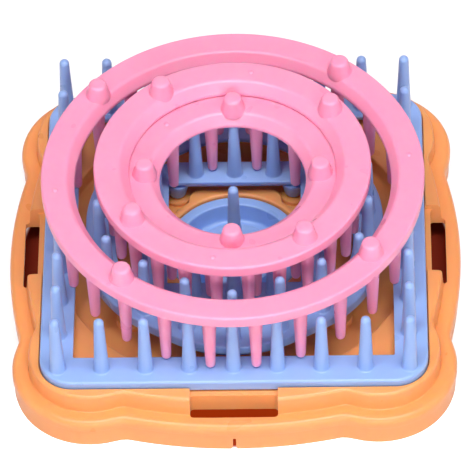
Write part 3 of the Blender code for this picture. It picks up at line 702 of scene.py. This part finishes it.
def rounded_polygon(sides, apothem, corner, steps, first_turn):
    """Outline of a polygon with rounded corners, whose sides lie at the apothem from the axis."""
    half_turn = math.pi / sides
    centre = (apothem - corner) / math.cos(half_turn)
    outline = []
    for side in range(sides):
        middle_turn = first_turn + 2 * half_turn * side
        for step in range(steps + 1):
            turn = middle_turn + half_turn * (2 * step / steps - 1)
            outline.append(polar(centre, middle_turn) + polar(corner, turn))
    return outline


def square_outline(half, corner):
    return lambda grow: rounded_polygon(4, half + grow, corner + grow, steps=16, first_turn=math.pi / 4)


def frame_plate(outer, inner, slope, base, upside_down):
    """The loom's flat frame, whose inner wall leans by slope.

    outer and inner are functions that give the frame's outer and inner outline, grown by a distance."""
    across = 0.0100
    lip = 0.0012
    section = rounded_corners([(0.0, 0.0, 0.0009), (0.0, plate, 0.0009), (-across, plate, 0.0004),
                               (-across, plate - lip, 0.0005), (slope - across, 0.0, 0.0010)], 4)
    sign = -1 if upside_down else 1
    loops = []
    for spot in section:
        outline = outer(spot.x) if spot.x > -across / 3 else inner(spot.x + across)
        loops.append([(point.x, sign * point.y, base + sign * spot.y) for point in outline])
    return extrude_round(loops, closed=True)


def foot_knob():
    """Profile of a foot: a root sunk in its plate, a small step, the taper and the rounded end."""
    root = 0.0038
    step_width = 0.0002
    step_height = 0.0004
    end = 0.0030
    rounding = 0.0012
    crown = 0.00012
    crown_radius = 0.0006
    profile = [(root + step_width, -root_depth), (root + step_width, just_below_face), (root, step_height)]
    for step in range(6):
        turn = math.pi / 2 * step / 5
        profile.append((end - rounding + rounding * math.cos(turn),
                        knob_height - crown - rounding + rounding * math.sin(turn)))
    profile.append((crown_radius, knob_height))
    return profile


def square_places(line, count):
    """Peg places on a square, count to a side with the corners counted in."""
    pitch = 2 * line / (count - 1)
    places = []
    for step in range(count - 1):
        along = -line + step * pitch
        places += [(along, -line), (line, along), (-along, line), (-line, -along)]
    return places


def blue_frame(item, node, body):
    smooth(item)
    make_of(item, blue_moulding(node + "_plastic"))
    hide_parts(node)
    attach(item, body)


square_half = 0.062
square_corner = 0.0108
square_hole = 0.0513
square_hole_corner = 0.0006
square_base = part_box("large_square_loom")[0].z + knob_height
large_square = frame_plate(square_outline(square_half, square_corner),
                           square_outline(square_hole, square_hole_corner),
                           slope=0.0026, base=square_base, upside_down=False)
large_square.name = "large_square_frame"
blue_peg = tapered_peg(peg_height, peg_foot, peg_tip)
join_stubs(large_square, blue_peg, square_places(square_line, 9), peg_faces, square_base + plate, False)
join_stubs(large_square, foot_knob(), large_square_feet, knob_faces, square_base, True)
blue_frame(large_square, "large_square_loom", "large_square")


# Hexagon loom
# A blue frame with six flat sides and broad round corners, a peg at each corner and one to each side of
# it. It stands on four feet in the tray's well, a little higher than the square loom round it.
hexagon_half = 0.0484
hexagon_hole = 0.0385
hexagon_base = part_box("hexagon_loom")[0].z + knob_height
hexagon_corner_centre = 0.0108


def hexagon_outline(half):
    """Outer or inner outline: both strike their corner arcs from the same six points."""
    corner = half - hexagon_corner_centre * math.cos(math.pi / 6)
    return lambda grow: rounded_polygon(6, half + grow, corner + grow, steps=24, first_turn=math.pi / 2)


hexagon = frame_plate(hexagon_outline(hexagon_half), hexagon_outline(hexagon_hole),
                      slope=0.0024, base=hexagon_base, upside_down=False)
hexagon.name = "hexagon_frame"
corner_peg_radius = 0.0466
side_peg_turn = math.radians(20)
hexagon_pegs = []
for corner in range(6):
    turn = math.pi / 2 + math.pi / 3 * corner
    hexagon_pegs.append(polar(corner_peg_radius, turn))
    hexagon_pegs += [polar(side_peg_radius, turn + side_peg_turn * side) for side in (-1, 1)]
join_stubs(hexagon, blue_peg, hexagon_pegs, peg_faces, hexagon_base + plate, False)
join_stubs(hexagon, foot_knob(), hexagon_feet, knob_faces, hexagon_base, True)
blue_frame(hexagon, "hexagon_loom", "hexagon")


# Small square loom
# The innermost blue frame, five pegs a side, standing round the dish on four feet.
small_square_half = 0.031
small_square_corner = 0.012
small_square_hole = 0.0216
small_square_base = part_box("small_square_loom")[0].z + knob_height
small_square = frame_plate(square_outline(small_square_half, small_square_corner),
                           square_outline(small_square_hole, square_hole_corner),
                           slope=0.0020, base=small_square_base, upside_down=False)
small_square.name = "small_square_frame"
join_stubs(small_square, blue_peg, square_places(small_square_line, 5), peg_faces,
           small_square_base + plate, False)
join_stubs(small_square, foot_knob(), small_square_feet, knob_faces, small_square_base, True)
blue_frame(small_square, "small_square_loom", "small_square")


# Ring looms
# Three pink rings, each one moulding, stored upside down with their four round feet pointing up. The large
# and the small one stand on their peg tips, and the middle one lies on the small one's margin.
ring_knob_faces = 40
dot_faces = 20


def round_outline(radius, faces):
    return lambda grow: [polar(radius + grow, 2 * math.pi * step / faces) for step in range(faces)]


def pink_ring(size, radius, hole, slope, faces, peg_line, pegs, reach_down, foot_turn, dot_line, dot_turn):
    """One ring: reach_down is its pegs' height, foot_turn and dot_turn place its feet and gate marks."""
    node = size + "_ring_loom"
    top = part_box(node)[1].z - knob_height
    ring = frame_plate(round_outline(radius, faces), round_outline(hole, faces), slope, top, True)
    ring.name = size + "_ring_frame"
    places = [polar(peg_line, math.pi / pegs + 2 * math.pi * step / pegs) for step in range(pegs)]
    join_stubs(ring, tapered_peg(reach_down, peg_foot, peg_tip), places, peg_faces, top - plate, True)
    feet_up = [polar(peg_line, foot_turn + math.pi / 2 * step) for step in range(4)]
    join_stubs(ring, foot_knob(), feet_up, ring_knob_faces, top, False)
    gate_dot = [(0.0009, -0.0004), (0.0009, 0.00004), (0.0007, 0.00025), (0.0003, 0.00035)]
    dots = [polar(dot_line, dot_turn + math.pi * step) for step in range(2)]
    join_stubs(ring, gate_dot, dots, dot_faces, top, False)
    smooth(ring)
    make_of(ring, moulded_plastic(node + "_plastic", (0.98, 0.37, 0.55), (0.97, 0.34, 0.52),
                                  glow=0.45, tint=(1.0, 0.25, 0.40), reach=0.004))
    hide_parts(node)
    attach(ring, size + "_ring")


pink_ring("large", radius=0.0616, hole=0.0509, slope=0.0026, faces=224, peg_line=0.056, pegs=24,
          reach_down=0.0257, foot_turn=math.radians(51.7), dot_line=0.0572, dot_turn=math.radians(6.9))
pink_ring("medium", radius=0.0445, hole=0.0333, slope=0.0029, faces=192, peg_line=0.0391, pegs=24,
          reach_down=peg_height, foot_turn=math.radians(36.3), dot_line=0.0402, dot_turn=math.radians(81.6))
pink_ring("small", radius=0.0342, hole=0.0235, slope=0.0029, faces=160, peg_line=0.0282, pegs=12,
          reach_down=peg_height, foot_turn=0.0, dot_line=0.0304, dot_turn=math.radians(135))
